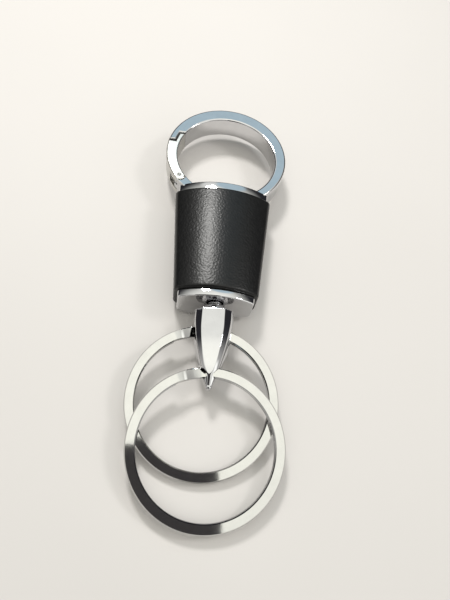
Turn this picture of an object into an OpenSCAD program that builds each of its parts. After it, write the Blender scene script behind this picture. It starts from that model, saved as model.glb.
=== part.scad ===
// Pocket key ring: a round snap hook on a leather-wrapped body, and a bullet on a swivel with two split rings.
// It lies on its back. +Y runs to the hook, +X to the right, +Z up off the surface that it lies on.
// The origin is on that surface, under the middle of the whole length.

/* [Body] */
// Length over both end plates
body_len = 30.6; // [28:0.2:33]
// Thickness over the leather
body_t = 11.9; // [11.5:0.1:13]
// Width over the leather at the hook end
top_w = 23.1; // [22.6:0.1:24]
// Width over the leather at the swivel end
foot_w = 18.7; // [17:0.1:21]
// Thickness of the end plate at the hook
top_plate_t = 2.3; // [1.8:0.1:2.8]
// Thickness of the end plate at the swivel
foot_plate_t = 1.8; // [1.4:0.1:2.2]
// How far the leather stands proud of the end plates
leather_proud = 0.8; // [0.5:0.1:1]
// Thickness of the leather
leather_t = 1; // [0.8:0.1:1.2]
// Thickness of the foam pad under the leather
pad_t = 0.6; // [0.4:0.1:0.8]
// Wall of the two core shells
core_wall = 1.2; // [0.9:0.1:1.4]

/* [Hook] */
// Outer diameter of the hook
hook_od = 30.4; // [29.6:0.2:31.2]
// Inner diameter of the hook
hook_id = 24.8; // [24.2:0.2:25.4]
// Height of the hook's band
hook_t = 5.6; // [5:0.1:6.2]
// How far the hook's centre stands above the top plate
hook_rise = 10.9; // [10.6:0.1:11.2]
// How far the inner circle is set down towards the body
bore_drop = 0.7; // [0.5:0.1:0.9]

/* [Gate] */
// Radius of the gate's hinge pin
pin_r = 0.6; // [0.5:0.05:0.65]
// Gap between the gate and the hook's lip
gate_gap = 0.5; // [0.45:0.05:0.7]
// Length of the tongue that goes up behind the lip
tongue_len = 2.7; // [2:0.1:3]

/* [Bullet] */
// Diameter at the shoulder
bullet_w = 8.7; // [8.6:0.1:9]
// Thickness over the two flat faces
bullet_t = 6; // [5.8:0.1:6.2]
// How far the bullet is turned on its swivel as it lies
bullet_roll = 7; // [0:1:8]
// Length from shoulder to tip
bullet_len = 17.4; // [17:0.1:18]
// Gap between the bullet and the end plate
neck_len = 1.8; // [1:0.1:2.4]
// Radius of the swivel pin
swivel_r = 1.5; // [1.3:0.05:1.6]

/* [Rings] */
// Outer diameter of each split ring
ring_od = 32; // [31:0.5:33]
// Width of the flat wire
wire_w = 2.1; // [1.8:0.1:2.2]
// Thickness of one turn of the wire
wire_t = 0.9; // [0.8:0.05:0.95]

/* [Hidden] */
$fn = 96;
skin = 0.02;
foot_y = -5.2;
top_y = foot_y + body_len;
wrap_y0 = foot_y + foot_plate_t;
wrap_y1 = top_y - top_plate_t;
mid_z = body_t / 2;
back_flat = 0.9;
crown_per_w = 0.92;
pad_inset = leather_t + skin;
core_inset = pad_inset + pad_t + skin;

hook_c = [0, top_y + hook_rise];
bore_c = hook_c - [0, bore_drop];
hook_z0 = mid_z - hook_t / 2;
band_r = (hook_od + hook_id) / 4;
hinge_deg = 216.3;
hinge_p = hook_c + (band_r + 0.2) * [cos(hinge_deg), sin(hinge_deg)];
knuckle_r = 1.45;
seat_r = 1.6;
lug_r = 1.1;
lug_stem = 1.8;
slot_z0 = mid_z - 1.35;
slot_h = 2.7;
lug_h = 1.3;
shoulder_y = hook_c[1] + 2.4;
lip_y = shoulder_y + gate_gap;
tongue_r = 13.35;
gate_cut_z = 0.05;

spring_r = 0.87;
spring_wire = 0.15;
spring_turns = 3;
spring_z0 = mid_z + 0.2;
spring_pitch = 2 * spring_wire + 0.03;

screw_spots = [[-3.6, 16.5], [3.6, 16.5], [0, 5.5]];
screw_r = 0.8;
screw_head = [1.5, 0.9];
boss_r = 2;
tang = [13, 11.6, 4.4];
tang_gap = 0.05;

spigot_neck = [2.4, 1.25];
spigot_flange = [2.95, 0.85];
pin_gap = 0.05;
washer = [2.6, 0.4];
pin_head = [2.5, 1.2];

bullet_y1 = foot_y - neck_len;
tip_y = bullet_y1 - bullet_len;
facet_half = 3.86;
facet_deg = 36;
facet_arc = 30;
facet_y = bullet_y1 - 3.5;
face_arc = 35;
face_y = bullet_y1 - 5;
nose_r = bullet_w / 2;
nose_arc = 34;
nose_y = bullet_y1 - 1.4;
tip_r = 0.6;
dome = [3, 1.9, 1.6];
pin_depth = 2.8;

ring_gap = 0.04;
ring_h = 2 * wire_t + ring_gap;
back_hole = [1.9, -12.0, 5.65];
front_hole = [1.56, -20.87, 6.12];
back_hinge_r = 14.4;
front_hinge_r = 14.83;
back_tilt = 8.8;
front_tilt = 8;
back_shift = -0.95;
front_shift = 0.5;
joggle = [-31, -5];
joggle_lag = 14;

// ---- Shapes that several pieces share ----

// Width over the leather at a place along the body
function width_at(y) = foot_w + (top_w - foot_w) * (y - wrap_y0) / (wrap_y1 - wrap_y0);

// The body's cross-section: both faces crowned, the back one cut flat to lie on, all edges rounded
module outline(w, inset, edge) {
    crown = crown_per_w * w;
    t = body_t - 2 * inset;
    offset(r = edge) offset(delta = -edge) intersection() {
        square([w - 2 * inset, t], center = true);
        translate([0, body_t / 2 - crown]) circle(crown - inset);
        translate([0, crown - back_flat - body_t / 2]) circle(crown - inset);
    }
}

// A tapering length of that cross-section
module pillow(y0, y1, inset, edge) {
    hull() for (y = [y0 + skin / 2, y1 - skin / 2])
        translate([0, y, mid_z]) rotate([90, 0, 0])
            linear_extrude(skin, center = true) outline(width_at(y), inset, edge);
}

// A rod along +Y from y0, on the swivel's axis
module rod(y0, r, h) {
    translate([0, y0, mid_z]) rotate([-90, 0, 0]) cylinder(r = r, h = h);
}

// The hook's full band, between its two circles
module band(z0, h) {
    translate([0, 0, z0]) linear_extrude(h) difference() {
        translate(hook_c) circle(d = hook_od);
        translate(bore_c) circle(d = hook_id);
    }
}

// The stretch of the plane that the gate takes, from its hinge up to a height
module gate_field(y_end) {
    out = [cos(hinge_deg), sin(hinge_deg)];
    polygon([hinge_p + 5 * out, hinge_p - 5 * out, [-4, y_end], [-20, y_end]]);
}

// Puts its children on the hinge pin: +Y along the gate, +X into the hook
module at_pin(z) {
    translate([hinge_p[0], hinge_p[1], z]) rotate([0, 0, hinge_deg - 180]) children();
}

// ---- The hook and its gate ----

// Where the gate's tongue goes up behind the hook's lip
module tongue_field(r, y_end) {
    intersection() {
        translate(hook_c) circle(r);
        translate([-15, shoulder_y - 1]) square([9, y_end - shoulder_y + 1]);
    }
}

// The ear's lug between the gate's cheeks
module ear_lug() {
    at_pin(slot_z0) linear_extrude(lug_h) union() {
        circle(lug_r);
        translate([-lug_stem / 2, -2.4]) square([lug_stem, 2.4]);
    }
}

module hook_frame() {
    color("silver") difference() {
        union() {
            difference() {
                band(hook_z0, hook_t);
                translate([0, 0, hook_z0 - 1]) linear_extrude(hook_t + 2) {
                    gate_field(lip_y);
                    tongue_field(tongue_r + 0.15, shoulder_y + tongue_len + 0.3);
                    translate([-20, wrap_y1 - 20]) square([40, 20]);
                }
                at_pin(hook_z0 - 1) cylinder(r = seat_r, h = hook_t + 2);
            }
            pillow(wrap_y1, top_y, leather_proud, 0.7);
            ear_lug();
            translate([-tang[0] / 2, wrap_y1 - tang[1], mid_z - tang[2] / 2]) cube(tang + [0, 0.5, 0]);
        }
        at_pin(0) cylinder(r = pin_r, h = body_t);
        for (p = screw_spots) translate([p[0], p[1], 0]) cylinder(r = screw_r + 0.1, h = body_t);
    }
}

module gate() {
    h = hook_t - 2 * gate_cut_z;
    color("gainsboro") difference() {
        intersection() {
            band(hook_z0 + gate_cut_z, h);
            translate([0, 0, hook_z0]) linear_extrude(hook_t) {
                gate_field(shoulder_y);
                tongue_field(tongue_r, shoulder_y + tongue_len);
                translate(hinge_p) circle(knuckle_r);
            }
        }
        at_pin(slot_z0 - 0.05) translate([-2.5, -2, 0]) cube([5, 4.6, slot_h + 0.1]);
        at_pin(0) cylinder(r = pin_r + 0.06, h = body_t);
    }
}

module gate_pin() {
    color("dimgray") at_pin(hook_z0 + gate_cut_z) cylinder(r = pin_r, h = hook_t - 2 * gate_cut_z);
}

// The spring's wire: a leg up the gate, three turns round the pin, a leg against the ear
function spring_path(steps) = concat(
    [[spring_r, 2.2, spring_z0 + spring_turns * spring_pitch]],
    [for (i = [0:steps]) let (a = -360 * spring_turns * i / steps)
        [spring_r * cos(a), spring_r * sin(a), spring_z0 + spring_turns * spring_pitch * (1 - i / steps)]],
    [[spring_r, -1.1, spring_z0]]);

// A round wire of radius r swept along a path that stays close to level
module wire_along(path, r, sides) {
    n = len(path);
    ways = [for (i = [0:n - 1]) path[min(i + 1, n - 1)] - path[max(i - 1, 0)]];
    points = [for (i = [0:n - 1]) let (side = cross(ways[i], [0, 0, 1]) / norm(cross(ways[i], [0, 0, 1])))
        for (k = [0:sides - 1]) path[i] + r * (cos(360 * k / sides) * side + sin(360 * k / sides) * [0, 0, 1])];
    walls = [for (i = [0:n - 2]) for (k = [0:sides - 1]) let (m = (k + 1) % sides)
        [i * sides + k, i * sides + m, (i + 1) * sides + m, (i + 1) * sides + k]];
    ends = [[for (k = [sides - 1:-1:0]) k], [for (k = [0:sides - 1]) (n - 1) * sides + k]];
    polyhedron(points, concat(walls, ends));
}

module gate_spring() {
    color("slategray") at_pin(0) wire_along(spring_path(72), spring_wire, 8);
}

// ---- The body ----

// Both core shells as one hollow block, with its bosses
module core_block() {
    difference() {
        pillow(wrap_y0 + skin, wrap_y1 - skin, core_inset, 1);
        difference() {
            pillow(wrap_y0 + core_wall, wrap_y1 - core_wall, core_inset + core_wall, 0.6);
            for (p = screw_spots) translate([p[0], p[1], 0]) cylinder(r = boss_r, h = body_t);
        }
        translate([-tang[0] / 2 - tang_gap, wrap_y1 - tang[1] - tang_gap, mid_z - tang[2] / 2 - tang_gap])
            cube(tang + [2 * tang_gap, 2, 2 * tang_gap]);
        rod(wrap_y0 - 1, spigot_neck[0] + 0.05, 4);
    }
}

module core_front() {
    color("darkgray") difference() {
        core_block();
        translate([-20, -20, -20]) cube([40, 60, 20 + mid_z]);
        for (p = screw_spots) translate([p[0], p[1], 0])
            cylinder(r = screw_r, h = body_t - core_inset - core_wall);
    }
}

module core_back() {
    color("gray") difference() {
        core_block();
        translate([-20, -20, mid_z - 0.02]) cube([40, 60, 20]);
        for (p = screw_spots) translate([p[0], p[1], 0]) {
            cylinder(r = screw_r + 0.05, h = body_t);
            cylinder(r = screw_head[0] + 0.1, h = core_inset + screw_head[1]);
        }
    }
}

module core_screws() {
    color("dimgray") for (p = screw_spots) translate([p[0], p[1], core_inset]) difference() {
        union() {
            cylinder(r = screw_head[0], h = screw_head[1]);
            cylinder(r = screw_r, h = body_t - 2 * core_inset - core_wall - 0.1);
        }
        translate([0, 0, 0.25]) cube([2.2, 0.4, 0.6], center = true);
    }
}

module wrap_pad() {
    color("darkslategray") difference() {
        pillow(wrap_y0 + skin, wrap_y1 - skin, pad_inset, 1.2);
        pillow(wrap_y0 - 1, wrap_y1 + 1, pad_inset + pad_t, 1);
    }
}

module leather_wrap() {
    color([0.07, 0.07, 0.08]) difference() {
        pillow(wrap_y0 + skin, wrap_y1 - skin, 0, 1.6);
        pillow(wrap_y0 - 1, wrap_y1 + 1, leather_t, 1.2);
    }
}

// ---- The swivel ----

module foot_plate() {
    color("silver") difference() {
        union() {
            pillow(foot_y, wrap_y0, leather_proud, 0.7);
            rod(wrap_y0 - 0.5, spigot_neck[0], spigot_neck[1] + 0.5);
            rod(wrap_y0 + spigot_neck[1], spigot_flange[0], spigot_flange[1]);
        }
        rod(foot_y - 1, swivel_r + pin_gap, body_len);
    }
}

module swivel_washer() {
    color("khaki") difference() {
        rod(wrap_y0 + spigot_neck[1] + spigot_flange[1] + pin_gap, washer[0], washer[1]);
        rod(foot_y, swivel_r + pin_gap, body_len);
    }
}

module swivel_pin() {
    head_y = wrap_y0 + spigot_neck[1] + spigot_flange[1] + washer[1] + 2 * pin_gap;
    color("lightsteelblue") {
        rod(bullet_y1 - pin_depth, swivel_r, head_y - bullet_y1 + pin_depth + 0.1);
        rod(head_y, pin_head[0], pin_head[1]);
    }
}

// Half the thickness of a shape that runs straight from its shoulder and then draws in on one long arc
function drawn_in(half, arc, y_from, y) = half - arc + sqrt(arc * arc - pow(max(y_from - y, 0), 2));

// The space between two opposite faces that draw in towards the tip
module bullet_side(half, arc, y_from) {
    steps = 12;
    long = y_from - tip_y;
    edge = [for (i = [0:steps]) let (y = y_from - long * i / steps) [y, drawn_in(half, arc, y_from, y)]];
    rotate([90, 0, 90]) linear_extrude(2 * bullet_w, center = true) polygon(concat(
        [[bullet_y1, half]], edge, [for (i = [steps:-1:0]) [edge[i][0], -edge[i][1]]], [[bullet_y1, -half]]));
}

// The turned nose: straight at the shoulder, then one long arc to a blunt tip
module bullet_nose() {
    steps = 24;
    long = nose_y - tip_y - tip_r;
    side = [for (i = [0:steps]) let (y = nose_y - long * i / steps)
        [drawn_in(nose_r, nose_arc, nose_y, y), y]];
    rotate([-90, 0, 0]) rotate_extrude()
        polygon(concat([[0, bullet_y1], [nose_r - 0.35, bullet_y1], [nose_r, bullet_y1 - 0.35]], side,
            [[tip_r * 0.6, tip_y + 0.2], [0, tip_y]]));
}

module bullet() {
    color("silver") difference() {
        union() {
            translate([0, 0, mid_z]) rotate([0, -bullet_roll, 0]) intersection() {
                bullet_nose();
                bullet_side(bullet_t / 2, face_arc, face_y);
                rotate([0, facet_deg, 0]) bullet_side(facet_half, facet_arc, facet_y);
                rotate([0, -facet_deg, 0]) bullet_side(facet_half, facet_arc, facet_y);
            }
            translate([0, bullet_y1 - 0.1, mid_z]) rotate([-90, 0, 0])
                cylinder(r1 = dome[0] - 0.1, r2 = dome[1], h = dome[2]);
        }
        for (hole = [back_hole, front_hole])
            translate([0, hole[1], hole[2]]) rotate([0, 90, 0]) cylinder(r = hole[0], h = 12, center = true);
        rod(bullet_y1 - pin_depth, swivel_r, pin_depth + neck_len);
    }
}

// ---- The split rings ----

// One flat wire wound twice round: a lower turn, a slanting ramp up across the joggle, an upper turn
module split_ring(hole, hinge_r, shift, tilt) {
    r1 = ring_od / 2;
    step = 3.75;
    start = joggle[0];
    end = joggle[1] - 720;
    ramp = joggle[1] - joggle[0] - joggle_lag;
    n = ceil((start - end) / step);
    points = [for (i = [0:n]) let (a = start + (end - start) * i / n)
        for (p = [[r1 - wire_w, 0], [r1, 0], [r1, wire_t], [r1 - wire_w, wire_t]])
            let (climb = joggle[1] - 360 - a - joggle_lag * (r1 - p[0]) / wire_w,
                rise = (wire_t + ring_gap) * (1 - cos(180 * min(max(climb / ramp, 0), 1))) / 2)
                [p[0] * sin(a), p[0] * cos(a), p[1] + rise - ring_h / 2]];
    walls = [for (i = [0:n - 1]) for (k = [0:3]) let (m = (k + 1) % 4)
        [4 * i + k, 4 * i + m, 4 * i + 4 + m, 4 * i + 4 + k]];
    translate([shift, hole[1], hole[2]]) rotate([tilt, 0, 0]) translate([0, -hinge_r, 0])
        polyhedron(points, concat(walls, [[3, 2, 1, 0], [4 * n, 4 * n + 1, 4 * n + 2, 4 * n + 3]]));
}

module ring_back() {
    color("lightgray") split_ring(back_hole, back_hinge_r, back_shift, back_tilt);
}

module ring_front() {
    color("whitesmoke") split_ring(front_hole, front_hinge_r, front_shift, front_tilt);
}

hook_frame();
gate();
gate_pin();
gate_spring();
core_front();
core_back();
core_screws();
wrap_pad();
leather_wrap();
foot_plate();
swivel_pin();
swivel_washer();
bullet();
ring_back();
ring_front();
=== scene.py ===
import math

import bpy
import numpy as np
from mathutils import Matrix, Vector
from mathutils.geometry import delaunay_2d_cdt


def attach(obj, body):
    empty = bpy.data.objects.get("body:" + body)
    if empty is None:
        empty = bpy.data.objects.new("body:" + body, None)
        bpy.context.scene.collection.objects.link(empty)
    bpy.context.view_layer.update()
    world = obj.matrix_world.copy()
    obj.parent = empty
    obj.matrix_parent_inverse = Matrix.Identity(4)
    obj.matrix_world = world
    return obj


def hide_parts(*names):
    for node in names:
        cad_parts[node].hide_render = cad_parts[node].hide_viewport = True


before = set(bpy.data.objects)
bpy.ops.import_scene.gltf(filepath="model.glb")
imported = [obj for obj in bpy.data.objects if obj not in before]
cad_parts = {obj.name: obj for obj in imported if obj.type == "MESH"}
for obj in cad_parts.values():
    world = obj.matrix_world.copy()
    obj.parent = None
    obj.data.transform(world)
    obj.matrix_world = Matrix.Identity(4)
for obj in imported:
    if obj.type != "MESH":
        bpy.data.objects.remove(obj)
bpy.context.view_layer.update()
scene = bpy.context.scene
MM = 0.001

# ---- The object's main sizes in mm, the same as in part.scad ----
MID_Z = 5.95
BODY_T = 11.9
FOOT_Y, TOP_Y = -5.2, 25.4
WRAP_Y0, WRAP_Y1 = -3.4, 23.1
FOOT_W, TOP_W = 18.7, 23.1
PROUD = 0.8
CROWN_PER_W, BACK_FLAT = 0.92, 0.9
PLATE_EDGE, PLATE_CORNER = 0.3, 0.7
HOOK_C, HOOK_R = (0.0, 36.3), 15.2
BORE_C, BORE_R = (0.0, 35.6), 12.4
HOOK_Z0, HOOK_Z1 = 3.15, 8.75
PIN = (-11.283, 28.012)
PIN_DEG = 36.3
SHOULDER_Y, LIP_Y, TONGUE_R = 38.7, 39.2, 13.35
TONGUE_Y, POCKET_Y = 41.4, 41.7
BULLET_Y1, TIP_Y = -7.0, -24.4
HOLES = ((-12.0, 5.65, 1.9), (-20.87, 6.12, 1.56))


# ================= Shapes =================
def arc(c, r, a0, a1, step=1.5):
    """Points along an arc from a0 to a1, in degrees."""
    n = max(2, int(abs(a1 - a0) / step) + 1)
    t = np.radians(np.linspace(a0, a1, n))
    return np.stack([c[0] + r * np.cos(t), c[1] + r * np.sin(t)], 1)


def signed_area(loop):
    x, y = loop[:, 0], loop[:, 1]
    return 0.5 * np.sum(x * np.roll(y, -1) - np.roll(x, -1) * y)


def inset(loop, d):
    """Moves every point of a counter-clockwise loop inwards by d."""
    e = np.roll(loop, -1, 0) - loop
    e /= np.linalg.norm(e, axis=1)[:, None]
    n1 = np.stack([-e[:, 1], e[:, 0]], 1)
    n0 = np.roll(n1, 1, 0)
    m = n0 + n1
    m /= np.linalg.norm(m, axis=1)[:, None]
    k = 1.0 / np.clip(np.sum(m * n1, 1), 0.5, 1)
    return loop + m * (d * k)[:, None]


def loft(rows, closed=False, fill=None):
    """Quads between rows of points, each a closed ring, with one face on each end or the faces of fill."""
    n = len(rows[0])
    verts = np.concatenate(rows)
    faces = []
    for i in range(len(rows) - (0 if closed else 1)):
        j = (i + 1) % len(rows)
        for k in range(n):
            m = (k + 1) % n
            faces.append((i * n + k, i * n + m, j * n + m, j * n + k))
    if not closed:
        last = (len(rows) - 1) * n
        for end in fill or [range(n)]:
            faces.append(tuple(end)[::-1])
            faces.append(tuple(last + k for k in end))
    return verts, faces


def slab(loop, z0, z1, b0, b1, steps=4):
    """A plan outline given a height, its lower and upper edges rounded by b0 and b1."""
    if signed_area(loop) < 0:
        loop = loop[::-1]
    rows = []
    for k in range(steps + 1):
        t = math.radians(90 * k / steps)
        rows.append((inset(loop, b0 * (1 - math.sin(t))), z0 + b0 * (1 - math.cos(t))))
    for k in range(steps, -1, -1):
        t = math.radians(90 * k / steps)
        rows.append((inset(loop, b1 * (1 - math.sin(t))), z1 - b1 * (1 - math.cos(t))))
    edges = [(k, (k + 1) % len(loop)) for k in range(len(loop))]
    flat = delaunay_2d_cdt([Vector(p) for p in loop], edges, [], 1, 1e-6)
    fill = []
    for tri in flat[2]:
        tri = [flat[3][k][0] for k in tri]
        a, b, c = (loop[k] for k in tri)
        left = (b[0] - a[0]) * (c[1] - a[1]) - (b[1] - a[1]) * (c[0] - a[0]) > 0
        fill.append(tri if left else tri[::-1])
    return loft([np.column_stack([p, np.full(len(p), z)]) for p, z in rows], fill=fill)


def new_object(name, shape):
    """An object from points in mm and faces."""
    verts, faces = shape
    mesh = bpy.data.meshes.new(name)
    mesh.from_pydata((np.asarray(verts) * MM).tolist(), [], [tuple(int(i) for i in f) for f in faces])
    mesh.update()
    o = bpy.data.objects.new(name, mesh)
    scene.collection.objects.link(o)
    return o


def piece(name, shape, body, material, angle=32.0, flat_caps=False):
    """A visible piece that rides on a body."""
    o = new_object(name, shape)
    o.data.materials.append(material)
    smooth(o, angle)
    if flat_caps:
        flatten(o)
    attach(o, body)
    return o


def smooth(o, angle):
    o.data.polygons.foreach_set("use_smooth", [True] * len(o.data.polygons))
    o.data.set_sharp_from_angle(angle=math.radians(angle))
    o.data.update()


def flatten(o):
    """Shades the faces that look straight up or down as flat ones."""
    for f in o.data.polygons:
        if abs(f.normal.z) > 0.9999:
            f.use_smooth = False


def weigh(o):
    w = o.modifiers.new("even_normals", "WEIGHTED_NORMAL")
    w.mode = "FACE_AREA"
    w.weight = 100
    w.keep_sharp = True


def cut(o, shapes, angle=32.0):
    """Cuts shapes out of a piece and keeps the result as its mesh."""
    for shape in shapes:
        c = new_object("cutter", shape)
        m = o.modifiers.new("cut", "BOOLEAN")
        m.operation, m.solver, m.object = "DIFFERENCE", "EXACT", c
        bpy.context.view_layer.update()
        made = bpy.data.meshes.new_from_object(o.evaluated_get(bpy.context.evaluated_depsgraph_get()))
        o.modifiers.clear()
        o.data = made
        bpy.data.objects.remove(c)
    smooth(o, angle)


def rod(axis, c, r, a0, a1, n=96):
    """A closed cylinder along X or Y, from a0 to a1."""
    t = np.linspace(0, 2 * math.pi, n, endpoint=False)
    u, v = r * np.cos(t), r * np.sin(t)
    rows = []
    for a in (a0, a1):
        p = np.full(n, float(a))
        ring_points = (p, c[0] + u, c[1] + v) if axis == "X" else (c[0] + v, p, c[1] + u)
        rows.append(np.stack(ring_points, 1))
    return loft(rows)


# ---- The body's cross-section ----
def width_at(y):
    return FOOT_W + (TOP_W - FOOT_W) * (y - WRAP_Y0) / (WRAP_Y1 - WRAP_Y0)


def section(w, cut_in, edge, n=240):
    """The body's outline at one place, as x and z: both faces crowned, the back cut flat, rounded by edge."""
    crown = CROWN_PER_W * w
    hx, hz = w / 2 - cut_in - edge, BODY_T / 2 - cut_in - edge
    rad = crown - cut_in - edge
    t = np.radians(np.arange(0, 360, 0.25))
    d = np.stack([np.cos(t), np.sin(t)], 1)
    with np.errstate(divide="ignore"):
        reach = np.minimum(hx / np.abs(d[:, 0]), hz / np.abs(d[:, 1]))
    for cz in (BODY_T / 2 - crown, crown - BACK_FLAT - BODY_T / 2):
        b = d[:, 1] * cz
        reach = np.minimum(reach, b + np.sqrt(b * b - cz * cz + rad * rad))
    core = d * reach[:, None]
    phi = np.radians((np.arange(n) + 0.5) * 360 / n)
    normal = np.stack([np.cos(phi), np.sin(phi)], 1)
    best = core[np.argmax(core @ normal.T, 0)]
    return best + edge * normal


def spread(loop, n):
    """The same outline with n points at even steps along it."""
    e = np.linalg.norm(np.roll(loop, -1, 0) - loop, axis=1)
    s = np.concatenate([[0], np.cumsum(e)])
    p = np.vstack([loop, loop[:1]])
    t = np.linspace(0, s[-1], n, endpoint=False)
    return np.stack([np.interp(t, s, p[:, 0]), np.interp(t, s, p[:, 1])], 1)


def body_rows(stations, edge, n=280):
    """Rows of points along the body; stations are (y, how far in from the leather's face)."""
    rows = []
    for y, cut_in in stations:
        p = spread(section(width_at(y), cut_in, edge), n)
        rows.append(np.stack([p[:, 0], np.full(n, y), p[:, 1] + MID_Z], 1))
    return rows


def end_plate(y0, y1):
    """An end plate's shell, set in behind the leather's face, with rounded edges."""
    b = PLATE_EDGE
    stations = []
    for k in range(5):
        t = math.radians(90 * k / 4)
        stations.append((y0 + b * (1 - math.cos(t)), PROUD + b * (1 - math.sin(t))))
    for k in range(4, -1, -1):
        t = math.radians(90 * k / 4)
        stations.append((y1 - b * (1 - math.cos(t)), PROUD + b * (1 - math.sin(t))))
    verts, faces = loft(body_rows(stations, PLATE_CORNER))
    return verts, [f[::-1] for f in faces]


# ================= Materials =================
def nodes_of(m):
    m.use_nodes = True
    t = m.node_tree
    b = t.nodes.get("Principled BSDF")
    return t, b


def noise(t, scale, detail, rough=0.5):
    tc = t.nodes.new("ShaderNodeTexCoord")
    n = t.nodes.new("ShaderNodeTexNoise")
    n.inputs["Scale"].default_value = scale
    n.inputs["Detail"].default_value = detail
    n.inputs["Roughness"].default_value = rough
    t.links.new(tc.outputs["Object"], n.inputs["Vector"])
    return n


def ramp(t, source, stops):
    r = t.nodes.new("ShaderNodeValToRGB")
    while len(r.color_ramp.elements) < len(stops):
        r.color_ramp.elements.new(0.5)
    for e, (p, c) in zip(r.color_ramp.elements, stops):
        e.position = p
        e.color = (*c, 1)
    t.links.new(source, r.inputs["Fac"])
    return r


def colour_by(t, b, n, stops):
    """Colours a surface by a noise."""
    t.links.new(ramp(t, n.outputs["Fac"], stops).outputs["Color"], b.inputs["Base Color"])


def remap(t, source, lo, hi):
    r = t.nodes.new("ShaderNodeMapRange")
    r.inputs["To Min"].default_value = lo
    r.inputs["To Max"].default_value = hi
    t.links.new(source, r.inputs["Value"])
    return r


def gloss_by(t, b, n, lo, hi):
    """Varies a surface's roughness by a noise."""
    t.links.new(remap(t, n.outputs["Fac"], lo, hi).outputs["Result"], b.inputs["Roughness"])


def bump_by(t, b, height, distance):
    """Raises a surface by up to a distance, in metres."""
    bump = t.nodes.new("ShaderNodeBump")
    bump.inputs["Distance"].default_value = distance
    bump.inputs["Strength"].default_value = 1.0
    t.links.new(height, bump.inputs["Height"])
    t.links.new(bump.outputs["Normal"], b.inputs["Normal"])


def metal(name, tint, rough, wave=0.0, wave_scale=260.0):
    """Plated or plain metal: a faint cloudiness in tint and gloss, and a slow wave in the surface."""
    haze = 0.02
    m = bpy.data.materials.new(name)
    t, b = nodes_of(m)
    b.inputs["Metallic"].default_value = 1.0
    n = noise(t, 420, 4)
    dark = tuple(c * 0.94 for c in tint)
    colour_by(t, b, n, [(0.3, dark), (0.7, tint)])
    n2 = noise(t, 900, 5, 0.65)
    gloss_by(t, b, n2, rough - haze, rough + haze)
    if wave:
        bump_by(t, b, noise(t, wave_scale, 2).outputs["Fac"], wave)
    return m


def leather(name):
    """Black grained leather: small rounded cells with finer grain over them."""
    grain_scale, fine_scale, grain_depth = 1900, 2200, 0.000035
    m = bpy.data.materials.new(name)
    t, b = nodes_of(m)
    b.inputs["Specular IOR Level"].default_value = 0.3
    n = noise(t, 700, 4)
    colour_by(t, b, n, [(0.35, (0.0035, 0.0036, 0.0038)), (0.7, (0.006, 0.006, 0.0062))])
    n2 = noise(t, 1500, 4, 0.6)
    gloss_by(t, b, n2, 0.28, 0.36)
    v = t.nodes.new("ShaderNodeTexVoronoi")
    v.feature = "SMOOTH_F1"
    v.inputs["Scale"].default_value = grain_scale
    v.inputs["Smoothness"].default_value = 0.3
    tc = t.nodes.new("ShaderNodeTexCoord")
    t.links.new(tc.outputs["Object"], v.inputs["Vector"])
    n3 = noise(t, fine_scale, 1, 0.4)
    add = t.nodes.new("ShaderNodeMath")
    add.operation = "MULTIPLY_ADD"
    add.inputs[1].default_value = 0.6
    t.links.new(v.outputs["Distance"], add.inputs[0])
    t.links.new(n3.outputs["Fac"], add.inputs[2])
    bump_by(t, b, add.outputs["Value"], grain_depth)
    return m


def plain(name, lo, hi, rough):
    """A dull plastic or foam, mottled between two colours."""
    scale = 900
    m = bpy.data.materials.new(name)
    t, b = nodes_of(m)
    n = noise(t, scale, 4)
    colour_by(t, b, n, [(0.3, lo), (0.7, hi)])
    n2 = noise(t, scale * 2, 3)
    gloss_by(t, b, n2, rough - 0.06, rough + 0.06)
    return m


CHROME = metal("polished_chrome", (0.64, 0.64, 0.65), 0.05, 0.000004)
SATIN = metal("satin_chrome", (0.60, 0.59, 0.56), 0.22, 0.000002, 500)
RING = metal("ring_nickel", (0.60, 0.60, 0.59), 0.06, 0.000003, 500)
ZINC = metal("cast_zinc_inside", (0.45, 0.45, 0.46), 0.5)
STEEL = metal("bright_steel", (0.55, 0.55, 0.56), 0.3)
LEATHER = leather("black_leather")
NYLON = plain("nylon", (0.62, 0.6, 0.5), (0.74, 0.71, 0.6), 0.55)
FOAM = plain("pad_foam", (0.03, 0.03, 0.03), (0.06, 0.06, 0.06), 0.85)

for node, mat in {
    "hook_frame": CHROME, "gate": SATIN, "gate_pin": SATIN, "gate_spring": STEEL, "core_front": ZINC,
    "core_back": ZINC, "core_screws": STEEL, "wrap_pad": FOAM, "leather_wrap": LEATHER, "foot_plate": CHROME,
    "swivel_pin": CHROME, "swivel_washer": NYLON, "bullet": CHROME, "ring_back": RING, "ring_front": RING,
}.items():
    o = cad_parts[node]
    o.data.materials.clear()
    o.data.materials.append(mat)
    smooth(o, 30)

# ================= Hook and top plate =================
HOOK_EDGE = 0.42


def circle_deg(c, r, y, left):
    """The angle on a circle at a height y, on its left or right side."""
    a = math.degrees(math.asin((y - c[1]) / r))
    return 180 - a if left else a


def arc_between(c, r, y0, left0, y1, left1):
    """The arc of a circle from one height on one of its sides to another, either way round."""
    return arc(c, r, circle_deg(c, r, y0, left0), circle_deg(c, r, y1, left1))


ROOT_Y = TOP_Y - 0.6
POCKET_R = TONGUE_R + 0.15
hook_loop = np.vstack([
    arc_between(HOOK_C, HOOK_R, ROOT_Y, False, LIP_Y, True),
    arc_between(HOOK_C, POCKET_R, LIP_Y, True, POCKET_Y, True),
    arc_between(BORE_C, BORE_R, POCKET_Y, True, ROOT_Y, False),
])
hook_shape = slab(hook_loop, HOOK_Z0, HOOK_Z1, HOOK_EDGE, HOOK_EDGE)
hook = piece("hook_band", hook_shape, "frame", CHROME, flat_caps=True)
weigh(hook)


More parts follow.
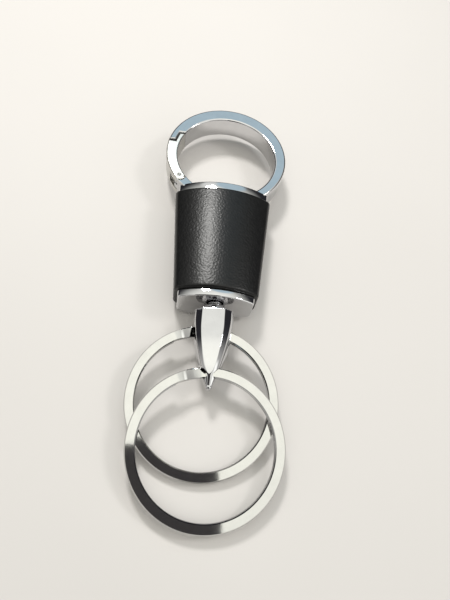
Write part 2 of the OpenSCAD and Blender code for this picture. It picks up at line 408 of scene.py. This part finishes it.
def pin_local(p):
    """A point on the gate's pin: +Y along the gate, +X into the hook."""
    c, s = math.cos(math.radians(PIN_DEG)), math.sin(math.radians(PIN_DEG))
    p = np.asarray(p, float)
    return np.stack([PIN[0] + p[..., 0] * c - p[..., 1] * s, PIN[1] + p[..., 0] * s + p[..., 1] * c], -1)


def meet(c, r, rp):
    """Where a circle is crossed, at the lower place, by one of radius rp round the pin: angle and point."""
    d = np.array(PIN) - np.array(c)
    dist = np.linalg.norm(d)
    a = (r * r - rp * rp + dist * dist) / (2 * dist)
    h = math.sqrt(max(r * r - a * a, 0))
    u = d / dist
    v = np.array([-u[1], u[0]])
    pts = [np.array(c) + a * u + s * h * v for s in (1, -1)]
    p = min(pts, key=lambda q: q[1])
    return math.degrees(math.atan2(p[1] - c[1], p[0] - c[0])) % 360, p


def pin_arc(rp, p0, p1, n=14):
    """The short arc of radius rp round the pin, from p0 to p1, on the body's side."""
    a0 = math.atan2(p0[1] - PIN[1], p0[0] - PIN[0])
    a1 = math.atan2(p1[1] - PIN[1], p1[0] - PIN[0])
    d = (a1 - a0 + math.pi) % (2 * math.pi) - math.pi
    t = np.linspace(a0, a0 + d, n)
    return np.stack([PIN[0] + rp * np.cos(t), PIN[1] + rp * np.sin(t)], 1)


SEAT_R, EAR_EDGE = 1.6, 0.2
ao, po = meet(HOOK_C, HOOK_R, SEAT_R)
ai, pi_ = meet(BORE_C, BORE_R, SEAT_R)
ear_loop = np.vstack([
    pin_arc(SEAT_R, pi_, po),
    arc(HOOK_C, HOOK_R, ao, circle_deg(HOOK_C, HOOK_R, ROOT_Y, True)),
    arc(BORE_C, BORE_R, circle_deg(BORE_C, BORE_R, ROOT_Y, True), ai),
])
ear_shape = slab(ear_loop, HOOK_Z0, HOOK_Z1, EAR_EDGE, EAR_EDGE)
ear = piece("hook_ear", ear_shape, "frame", CHROME, flat_caps=True)
weigh(ear)
LUG_R, LUG_STEM, LUG_LONG, LUG_EDGE = 1.1, 0.9, 2.4, 0.08
LUG_Z0, LUG_Z1 = 4.6, 5.9
lug_stem = [(-LUG_STEM, -LUG_LONG), (LUG_STEM, -LUG_LONG)]
lug_loop = np.vstack([pin_local(arc((0, 0), LUG_R, 0, 180, 10)), pin_local(lug_stem)])
lug_shape = slab(lug_loop, LUG_Z0, LUG_Z1, LUG_EDGE, LUG_EDGE)
piece("hook_lug", lug_shape, "frame", CHROME)

top_plate = piece("top_plate", end_plate(WRAP_Y1, TOP_Y), "frame", CHROME)
weigh(top_plate)
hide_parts("hook_frame")

# ================= Gate =================
KNUCKLE_R, GATE_EDGE, GATE_CUT = 1.45, 0.3, 0.05
ao, po = meet(HOOK_C, HOOK_R, KNUCKLE_R)
ai, pi_ = meet(BORE_C, BORE_R, KNUCKLE_R)
gate_loop = np.vstack([
    arc(HOOK_C, HOOK_R, ao, circle_deg(HOOK_C, HOOK_R, SHOULDER_Y, True)),
    arc_between(HOOK_C, TONGUE_R, SHOULDER_Y, True, TONGUE_Y, True),
    arc(BORE_C, BORE_R, circle_deg(BORE_C, BORE_R, TONGUE_Y, True), ai),
    pin_arc(KNUCKLE_R, pi_, po)[1:-1],
])
gate_shape = slab(gate_loop, HOOK_Z0 + GATE_CUT, HOOK_Z1 - GATE_CUT, GATE_EDGE, GATE_EDGE)
gate = piece("gate_arm", gate_shape, "gate", SATIN, flat_caps=True)
SLOT_HALF, SLOT_LOW, SLOT_HIGH = 2.5, -2.0, 2.6
SLOT_Z = (4.55, 7.35)
slot_plan = pin_local([
    (-SLOT_HALF, SLOT_LOW), (SLOT_HALF, SLOT_LOW), (SLOT_HALF, SLOT_HIGH), (-SLOT_HALF, SLOT_HIGH),
])
cut(gate, [loft([np.column_stack([slot_plan, np.full(4, z)]) for z in SLOT_Z])])
flatten(gate)
weigh(gate)
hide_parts("gate")

# ================= Foot plate and swivel =================
SWIVEL_R, FOOT_BORE_R = 1.5, 1.56
foot = piece("foot_plate_shell", end_plate(FOOT_Y, WRAP_Y0), "frame", CHROME)
cut(foot, [rod("Y", (0, MID_Z), FOOT_BORE_R, FOOT_Y - 1, WRAP_Y0 + 1)])
weigh(foot)
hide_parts("foot_plate")


def turned(profile, n=96):
    """A body of revolution about the swivel's axis; profile is (radius, y)."""
    t = np.linspace(0, 2 * math.pi, n, endpoint=False)
    rows = [np.stack([r * np.sin(t), np.full(n, float(y)), MID_Z + r * np.cos(t)], 1) for r, y in profile]
    return loft(rows)


PIN_HEAD_R, PIN_HEAD_Y0, PIN_HEAD_Y1 = 2.5, -1.25, 0.0
neck = [(SWIVEL_R, -9.0), (SWIVEL_R, PIN_HEAD_Y0 - 0.05), (PIN_HEAD_R, PIN_HEAD_Y0)]
neck += [(PIN_HEAD_R, PIN_HEAD_Y1 - 0.1), (PIN_HEAD_R - 0.1, PIN_HEAD_Y1)]
swivel = piece("swivel_neck", turned(neck), "bullet", CHROME)
weigh(swivel)
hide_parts("swivel_pin")
DOME_IN, DOME_OUT, DOME_HIGH = 1.75, 1.25, 1.5
dome = [(2.6, -7.3), (3.0, -7.1)]
for a in np.radians(np.arange(0, 91, 9)):
    dome.append((DOME_IN + DOME_OUT * math.cos(a), BULLET_Y1 + DOME_HIGH * math.sin(a)))
dome += [(SWIVEL_R + 0.02, BULLET_Y1 + DOME_HIGH), (SWIVEL_R + 0.02, -5.8)]
collar = piece("bullet_collar", turned(dome), "bullet", CHROME)
weigh(collar)

# ================= Bullet =================
BULLET_ROLL = 7.0
# Each limit is (half its width at the shoulder, radius of its long arc, y where the arc starts).
NOSE, FACES, FACETS = (4.32, 34.0, -8.4), (3.0, 35.0, -12.0), (3.84, 30.0, -10.5)
FACET_DEG = 36.0
CAP_Y = -23.6
CORNER_POWER = 220.0
SHOULDER_EDGE = 0.14


def drawn_in(half, arc_r, y_from, y):
    """Half a thickness that runs straight from the shoulder and then draws in on one long arc."""
    d = max(y_from - y, 0.0)
    return half - arc_r + math.sqrt(arc_r ** 2 - d * d)


def bullet_shape(n=384):
    """The turned nose cut by its faces and facets, with a rounded shoulder and a blunt tip."""
    t = (np.arange(n) + 0.5) * 2 * math.pi / n
    dx, dz = np.abs(np.cos(t)), np.abs(np.sin(t))
    tilted = dx * math.sin(math.radians(FACET_DEG)) + dz * math.cos(math.radians(FACET_DEG))
    stations = []
    for a in np.radians(np.arange(0, 91, 18)):
        stations.append((BULLET_Y1 - SHOULDER_EDGE * (1 - math.cos(a)), 1 - 0.03 * (1 - math.sin(a))))
    stations += [(y, 1.0) for y in np.linspace(BULLET_Y1 - 0.16, CAP_Y, 170)]
    rows = []
    for y, k in stations:
        limits = ((dz, FACES), (tilted, FACETS), (1.0, NOSE))
        walls = sum((across / drawn_in(*limit, y)) ** CORNER_POWER for across, limit in limits)
        rows.append((y, k * walls ** (-1 / CORNER_POWER)))
    last = rows[-1][1]
    for a in np.radians(np.arange(1, 13) * 7.2):
        rows.append((CAP_Y + (TIP_Y - CAP_Y) * math.sin(a), last * math.cos(a) ** 0.8))
    roll = math.radians(BULLET_ROLL)
    ux, uz = np.cos(t), np.sin(t)
    wx = ux * math.cos(roll) - uz * math.sin(roll)
    wz = ux * math.sin(roll) + uz * math.cos(roll)
    return loft([np.stack([r * wx, np.full(n, y), MID_Z + r * wz], 1) for y, r in rows])


bullet = piece("bullet_shell", bullet_shape(), "bullet", CHROME, 28)
cut(bullet, [rod("X", (y, z), r, -8, 8, 128) for y, z, r in HOLES], 28)
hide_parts("bullet")

# ================= Split rings =================
WIRE_T, WIRE_W, RING_R, RING_GAP = 0.9, 2.1, 16.0, 0.04
WIRE_CHAMFER = 0.22
JOGGLE, JOGGLE_LAG = (-31.0, -5.0), 14.0


def ring_shape(step=1.25):
    """A flat wire wound twice round, which climbs by one turn across the joggle."""
    h = WIRE_T + RING_GAP
    start, end = JOGGLE[0], JOGGLE[1] - 720
    ramp_long = JOGGLE[1] - JOGGLE[0] - JOGGLE_LAG
    angles = np.linspace(start, end, int((start - end) / step) + 1)
    c = WIRE_CHAMFER
    outer, inner = RING_R - c, RING_R - WIRE_W + c
    high, low = WIRE_T - c, c
    corner = []
    for cx, cz, a0 in ((outer, high, 0), (inner, high, 90), (inner, low, 180), (outer, low, 270)):
        for k in range(2):
            t = math.radians(a0 + 90 * k)
            corner.append((cx + c * math.cos(t), cz + c * math.sin(t)))
    corner = np.array(corner)
    rows = []
    for i, a in enumerate(angles):
        climb = JOGGLE[1] - 360 - a - JOGGLE_LAG * (RING_R - corner[:, 0]) / WIRE_W
        rise = h * (1 - np.cos(math.pi * np.clip(climb / ramp_long, 0, 1))) / 2
        z = rise - (2 * WIRE_T + RING_GAP) / 2
        s, co = math.sin(math.radians(a)), math.cos(math.radians(a))
        rows.append(np.stack([corner[:, 0] * s, corner[:, 0] * co, corner[:, 1] + z], 1))
    return loft(rows)


def ring(name, hole, hinge_r, shift, tilt, body, node):
    """A split ring hung in one of the bullet's holes and tilted about it."""
    verts, faces = ring_shape()
    v = verts + np.array([0, -hinge_r, 0])
    c, s = math.cos(math.radians(tilt)), math.sin(math.radians(tilt))
    x = v[:, 0] + shift
    y = v[:, 1] * c - v[:, 2] * s + hole[0]
    z = v[:, 1] * s + v[:, 2] * c + hole[1]
    v = np.stack([x, y, z], 1)
    o = piece(name, (v, faces), body, RING, 40)
    weigh(o)
    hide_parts(node)


ring("split_ring_back", HOLES[0], 14.4, -0.95, 8.8, "ring_back", "ring_back")
ring("split_ring_front", HOLES[1], 14.83, 0.5, 8.0, "ring_front", "ring_front")

# ================= Leather =================
LEATHER_T, LEATHER_CORNER, ROLLED_EDGE, LEATHER_GAP = 1.0, 1.6, 0.45, 0.03


def leather_shape(n=280):
    """A sleeve round the body, with rolled edges at both ends."""
    e = ROLLED_EDGE
    y0, y1 = WRAP_Y0 + LEATHER_GAP, WRAP_Y1 - LEATHER_GAP
    stations = [(y0, LEATHER_T)]
    for k in range(6):
        t = math.radians(18 * k)
        stations.append((y0 + e * (1 - math.cos(t)), e * (1 - math.sin(t))))
    stations += [(y, 0.0) for y in np.linspace(y0 + 0.8, y1 - 0.8, 60)]
    for k in range(5, -1, -1):
        t = math.radians(18 * k)
        stations.append((y1 - e * (1 - math.cos(t)), e * (1 - math.sin(t))))
    stations.append((y1, LEATHER_T))
    rows = body_rows(stations, LEATHER_CORNER, n)
    verts, faces = loft(rows, closed=True)
    return verts, [f[::-1] for f in faces]


wrap = piece("leather_cover", leather_shape(), "frame", LEATHER, 50)
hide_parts("leather_wrap")

# ================= Floor, camera, light =================
def sheet(name, size, z, material):
    verts = [(-size, -size, z), (size, -size, z), (size, size, z), (-size, size, z)]
    mesh = bpy.data.meshes.new(name)
    mesh.from_pydata(verts, [], [(0, 1, 2, 3)])
    o = bpy.data.objects.new(name, mesh)
    scene.collection.objects.link(o)
    o.data.materials.append(material)


FLOOR = bpy.data.materials.new("pale_table")
ft, fb = nodes_of(FLOOR)
fn = noise(ft, 9, 3)
colour_by(ft, fb, fn, [(0.3, (0.575, 0.552, 0.535)), (0.7, (0.595, 0.572, 0.555))])
fb.inputs["Roughness"].default_value = 0.6
fb.inputs["Specular IOR Level"].default_value = 0.25
sheet("table", 1.5, 0.0, FLOOR)

cam_data = bpy.data.cameras.new("camera")
cam = bpy.data.objects.new("camera", cam_data)
scene.collection.objects.link(cam)
cam_data.sensor_width = 36.0
cam_data.lens = 30.62
cam_data.clip_start = 0.005
LENS_AT = (-7.42, -54.47, 107.57)
TILT, HEAD, ROLL = math.radians(27.08), math.radians(-10.68), math.radians(15.7)
turn = Matrix.Rotation(HEAD, 3, "Z")
right = turn @ Vector((1, 0, 0))
up = turn @ Vector((0, math.cos(TILT), math.sin(TILT)))
ahead = turn @ Vector((0, math.sin(TILT), -math.cos(TILT)))
right, up = math.cos(ROLL) * right + math.sin(ROLL) * up, -math.sin(ROLL) * right + math.cos(ROLL) * up
basis = Matrix((right, up, -ahead)).transposed().to_4x4()
cam.matrix_world = Matrix.Translation(Vector(LENS_AT) * MM) @ basis
scene.camera = cam


def area(name, where, at, size, power, color):
    d = bpy.data.lights.new(name, "AREA")
    d.shape = "RECTANGLE"
    d.size, d.size_y = size
    d.energy = power
    d.color = color
    o = bpy.data.objects.new(name, d)
    scene.collection.objects.link(o)
    o.location = where
    o.rotation_euler = (Vector(at) - Vector(where)).to_track_quat("-Z", "Y").to_euler()


# A dark card beside the lens, which stands for a camera and the hand that holds it: only shiny things see it.
CARD = bpy.data.materials.new("dark_card")
ct, cb = nodes_of(CARD)
cn = noise(ct, 14, 2)
colour_by(ct, cb, cn, [(0.3, (0.0, 0.0, 0.0)), (0.7, (0.004, 0.004, 0.004))])
cb.inputs["Roughness"].default_value = 0.9
cb.inputs["Emission Color"].default_value = (0.05, 0.046, 0.048, 1)
cb.inputs["Emission Strength"].default_value = 1.0
CARD_LEFT, CARD_RIGHT, CARD_LOW, CARD_HIGH = -54, 21.4, -150, 9
card_plan = ((CARD_LEFT, CARD_LOW), (CARD_RIGHT, CARD_LOW), (CARD_RIGHT, CARD_HIGH), (CARD_LEFT, CARD_HIGH))
corners = [Vector(LENS_AT) + a * right + b * up for a, b in card_plan]
card_mesh = bpy.data.meshes.new("dark_card")
card_mesh.from_pydata([tuple(c * MM) for c in corners], [], [(0, 1, 2, 3)])
card = bpy.data.objects.new("dark_card", card_mesh)
scene.collection.objects.link(card)
card_mesh.materials.append(CARD)
card.visible_camera = card.visible_diffuse = card.visible_shadow = card.visible_transmission = False

world = bpy.data.worlds.new("studio")
scene.world = world
world.use_nodes = True
wt = world.node_tree
wt.nodes.clear()
out = wt.nodes.new("ShaderNodeOutputWorld")
bg = wt.nodes.new("ShaderNodeBackground")
tc = wt.nodes.new("ShaderNodeTexCoord")
sep = wt.nodes.new("ShaderNodeSeparateXYZ")
wt.links.new(tc.outputs["Generated"], sep.inputs["Vector"])


def calc(op, *args):
    n = wt.nodes.new("ShaderNodeMath")
    n.operation = op
    for i, a in enumerate(args):
        if isinstance(a, (int, float)):
            n.inputs[i].default_value = a
        else:
            wt.links.new(a, n.inputs[i])
    return n.outputs["Value"]


def step(v, lo, hi):
    n = wt.nodes.new("ShaderNodeMapRange")
    n.interpolation_type = "SMOOTHSTEP"
    n.inputs["From Min"].default_value = lo
    n.inputs["From Max"].default_value = hi
    wt.links.new(v, n.inputs["Value"])
    return n.outputs["Result"]


def tint(base, amount, color):
    n = wt.nodes.new("ShaderNodeMix")
    n.data_type = "RGBA"
    wt.links.new(amount, n.inputs["Factor"])
    if isinstance(base, tuple):
        n.inputs["A"].default_value = (*base, 1)
    else:
        wt.links.new(base, n.inputs["A"])
    n.inputs["B"].default_value = (*color, 1)
    return n.outputs["Result"]


def blob(az, el, inner, outer):
    """How far inside a soft round patch of the sky a direction is; degrees, azimuth from +Y towards +X."""
    a, e = math.radians(az), math.radians(el)
    v = (math.sin(a) * math.cos(e), math.cos(a) * math.cos(e), math.sin(e))
    x, y, z = (calc("MULTIPLY", sep.outputs[i], v[i]) for i in range(3))
    dot = calc("ADD", calc("ADD", x, y), z)
    return step(dot, math.cos(math.radians(outer)), math.cos(math.radians(inner)))


low = tint((0.03, 0.03, 0.035), step(calc("MULTIPLY", sep.outputs[1], -1.0), -0.25, 0.15), (0.55, 0.54, 0.52))
sky = tint(low, step(sep.outputs[2], 0.40, 0.97), (1.22, 1.22, 1.14))
sky = tint(sky, blob(180, 90, 6, 22), (1.52, 1.51, 1.38))
sky = tint(sky, blob(-16, 47, 8, 16), (1.0, 1.0, 0.96))
sky = tint(sky, blob(14, 45, 12, 20), (0.58, 0.74, 0.83))
sky = tint(sky, blob(118, 27, 11, 20), (1.6, 1.6, 1.52))
sky = tint(sky, blob(-97, 27, 5, 11), (1.35, 1.34, 1.25))
sky = tint(sky, blob(-128, 29, 8, 14), (0.06, 0.06, 0.06))
wt.links.new(sky, bg.inputs["Color"])
backdrop = wt.nodes.new("ShaderNodeBackground")
backdrop.inputs["Color"].default_value = (0.70, 0.69, 0.67, 1)
seen = wt.nodes.new("ShaderNodeLightPath")
pick = wt.nodes.new("ShaderNodeMixShader")
wt.links.new(seen.outputs["Is Camera Ray"], pick.inputs["Fac"])
wt.links.new(bg.outputs["Background"], pick.inputs[1])
wt.links.new(backdrop.outputs["Background"], pick.inputs[2])
wt.links.new(pick.outputs["Shader"], out.inputs["Surface"])

area("lamp_left", (-0.077, 0.196, 0.285), (0, 0, 0), (0.06, 0.06), 0.75, (1, 0.99, 0.96))
area("lamp_right", (0.25, 0.05, 0.30), (0, 0, 0), (0.07, 0.07), 0.3, (1, 0.99, 0.98))

scene.view_settings.view_transform = "Standard"
